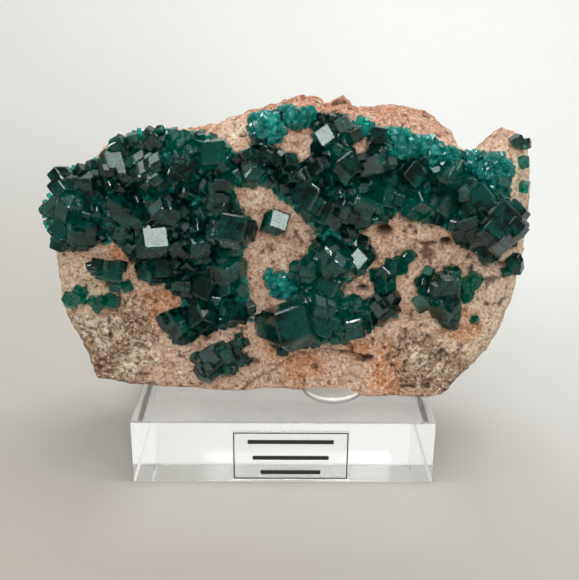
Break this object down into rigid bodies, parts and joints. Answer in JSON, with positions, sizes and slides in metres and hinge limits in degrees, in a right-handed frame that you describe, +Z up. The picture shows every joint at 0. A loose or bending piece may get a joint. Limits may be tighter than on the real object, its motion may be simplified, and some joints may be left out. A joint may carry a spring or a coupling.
{
  "type": "dioptase specimen",
  "caption": "Slab of sandy rock with a crust of dark green dioptase crystals, standing on a clear acrylic block with a framed label.",
  "frame": {"origin": "centre of the acrylic block's underside", "axes": "+Z up, +X to the specimen's right as its front is seen, -Y towards the viewer, out of the crystal-covered front"},
  "size_m": [0.083, 0.0401, 0.0618],
  "materials": {
    "acrylic": "clear, polished",
    "label_film": "clear film with a thin dark frame",
    "glue": "clear, glossy",
    "rock": "rough, sandy",
    "dioptase": "glassy, deep green"
  },
  "bodies": {
    "root": {"stand": "acrylic", "label": "label_film", "glue": "glue", "rock": "rock", "crystal_crust": "dioptase", "crystals_below": "dioptase", "crystals_right": "dioptase", "crystals_left": "dioptase", "crystals_left_edge": "dioptase", "crystals_left_foot": "dioptase", "crystals_right_edge": "dioptase", "crystals_top_corner": "dioptase", "crystal_tablet": "dioptase", "crystal_corner_upper": "dioptase", "crystal_corner_lower": "dioptase", "crystal_small_right": "dioptase"}
  },
  "joints": []
}
